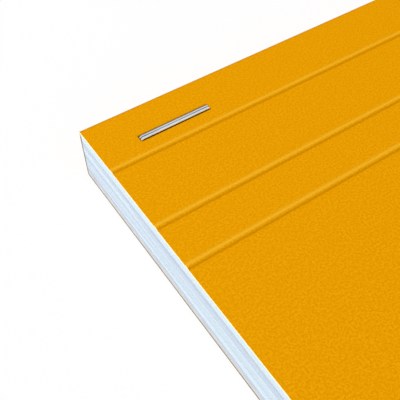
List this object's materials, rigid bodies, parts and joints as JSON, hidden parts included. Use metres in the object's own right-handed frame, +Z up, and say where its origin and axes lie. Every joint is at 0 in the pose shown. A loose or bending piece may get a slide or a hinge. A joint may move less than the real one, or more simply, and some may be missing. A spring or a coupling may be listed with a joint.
{
  "type": "stapled notepad",
  "caption": "Pocket notepad stapled at the head, with a creased wrap-round card cover that turns back on its first crease.",
  "frame": {"origin": "centre of the pad's underside", "axes": "+X across the pad, +Y towards the stapled head, +Z up through the front cover"},
  "size_m": [0.105, 0.148, 0.0105],
  "materials": {
    "cover_card": "satin",
    "sheets": "matte",
    "board": "matte",
    "staple_wire": "satin"
  },
  "bodies": {
    "pad": {"back_cover": "cover_card", "page_block": "sheets", "back_board": "board", "staple_left_wire_1": "staple_wire", "staple_left_wire_2": "staple_wire", "staple_right_wire_1": "staple_wire", "staple_right_wire_2": "staple_wire"},
    "front_cover": {"front_cover": "cover_card"}
  },
  "joints": [
    {"name": "front_cover_crease", "type": "hinge", "parent": "pad", "child": "front_cover", "pos_m": [0, 0.0633, 0.01036], "axis": [-1, 0, 0], "range_deg": [0, 175]}
  ]
}
